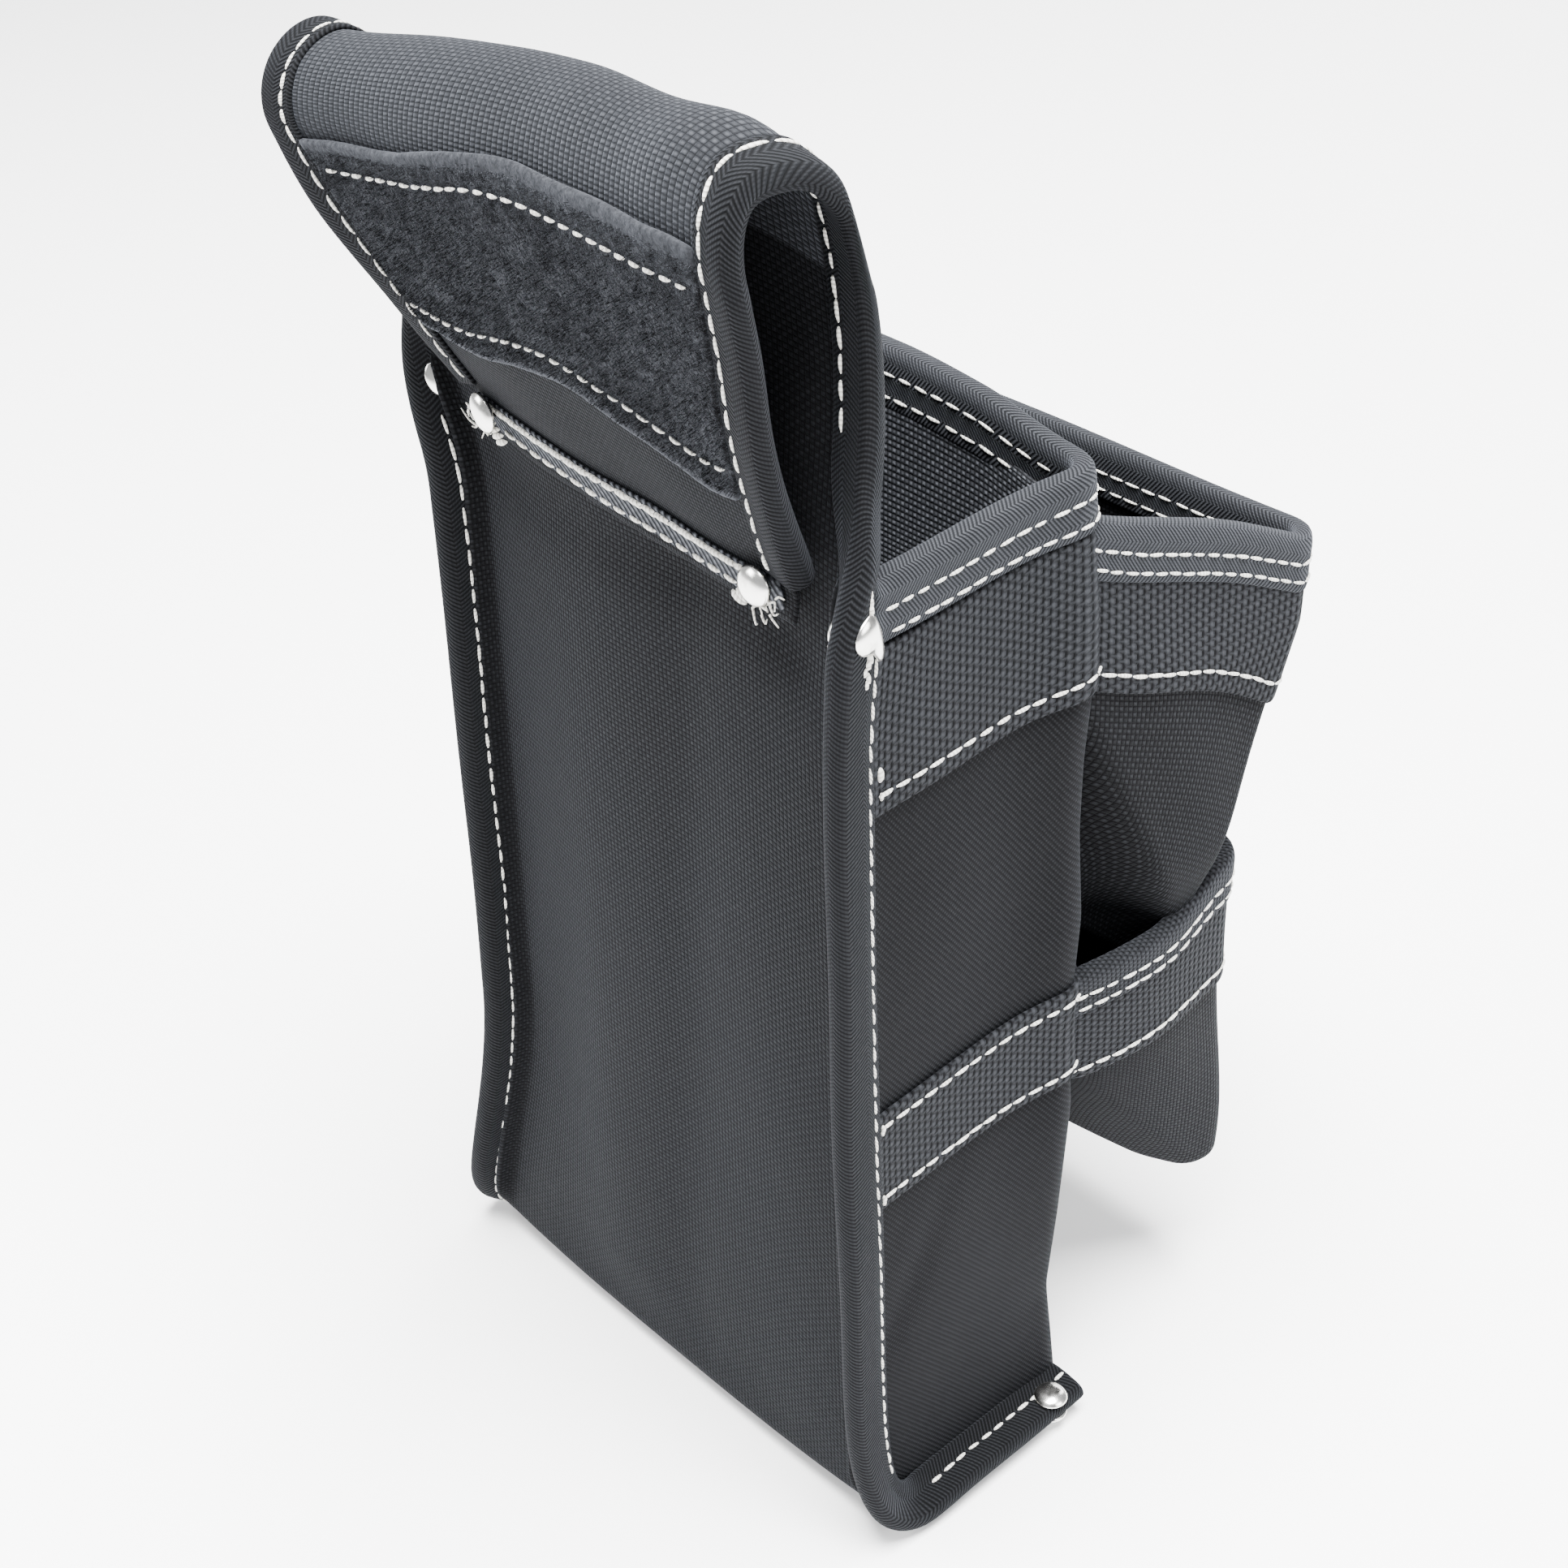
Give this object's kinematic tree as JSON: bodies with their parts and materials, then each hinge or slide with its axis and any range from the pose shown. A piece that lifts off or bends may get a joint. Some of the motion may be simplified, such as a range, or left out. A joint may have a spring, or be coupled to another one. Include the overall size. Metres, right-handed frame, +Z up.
{
  "type": "electrician tool pouch",
  "caption": "Black canvas tool pouch with a closed belt loop, a deep main pocket and two flared front pockets, bound in tape, banded in webbing and riveted at its stress points.",
  "frame": {"origin": "centre of the flat base, on the surface the pouch stands on", "axes": "+Z up, -Y to the front pockets, +Y to the belt loop, +X to the right seen from the front"},
  "size_m": [0.1528, 0.1455, 0.3167],
  "materials": {
    "canvas": "plain-woven matt polyester canvas",
    "webbing": "coarse basket-woven webbing",
    "binding_tape": "fine herringbone tape",
    "pile": "brushed loop pile",
    "lining": "coated oxford cloth",
    "board": "semi-rigid polyethylene sheet",
    "thread": "thick bonded thread",
    "nickel": "polished nickel plate"
  },
  "bodies": {
    "root": {"back_panel": "canvas", "back_stiffener": "board", "base_stiffener": "board", "pocket_wall": "canvas", "pocket_lining": "lining", "pocket_rim_binding": "binding_tape", "wide_webbing_band": "webbing", "narrow_webbing_band": "webbing", "belt_loop_flap": "canvas", "loop_fastener_strip": "pile", "flap_end_tape": "binding_tape", "seam_binding_left": "binding_tape", "seam_binding_right": "binding_tape", "loop_binding_left": "binding_tape", "loop_binding_right": "binding_tape", "upper_pocket_wall": "canvas", "upper_pocket_bottom": "canvas", "upper_pocket_rim_binding": "binding_tape", "upper_pocket_webbing_band": "webbing", "lower_pocket_wall": "canvas", "lower_pocket_bottom": "canvas", "lower_pocket_rim_binding": "binding_tape", "lower_pocket_webbing_band": "webbing", "flap_end_rivet_cap_left": "nickel", "flap_end_rivet_base_left": "nickel", "flap_end_rivet_cap_right": "nickel", "flap_end_rivet_base_right": "nickel", "side_seam_rivet_cap_left": "nickel", "side_seam_rivet_base_left": "nickel", "side_seam_rivet_cap_right": "nickel", "side_seam_rivet_base_right": "nickel", "base_seam_rivet_cap_left": "nickel", "base_seam_rivet_base_left": "nickel", "base_seam_rivet_cap_right": "nickel", "base_seam_rivet_base_right": "nickel"}
  },
  "joints": []
}
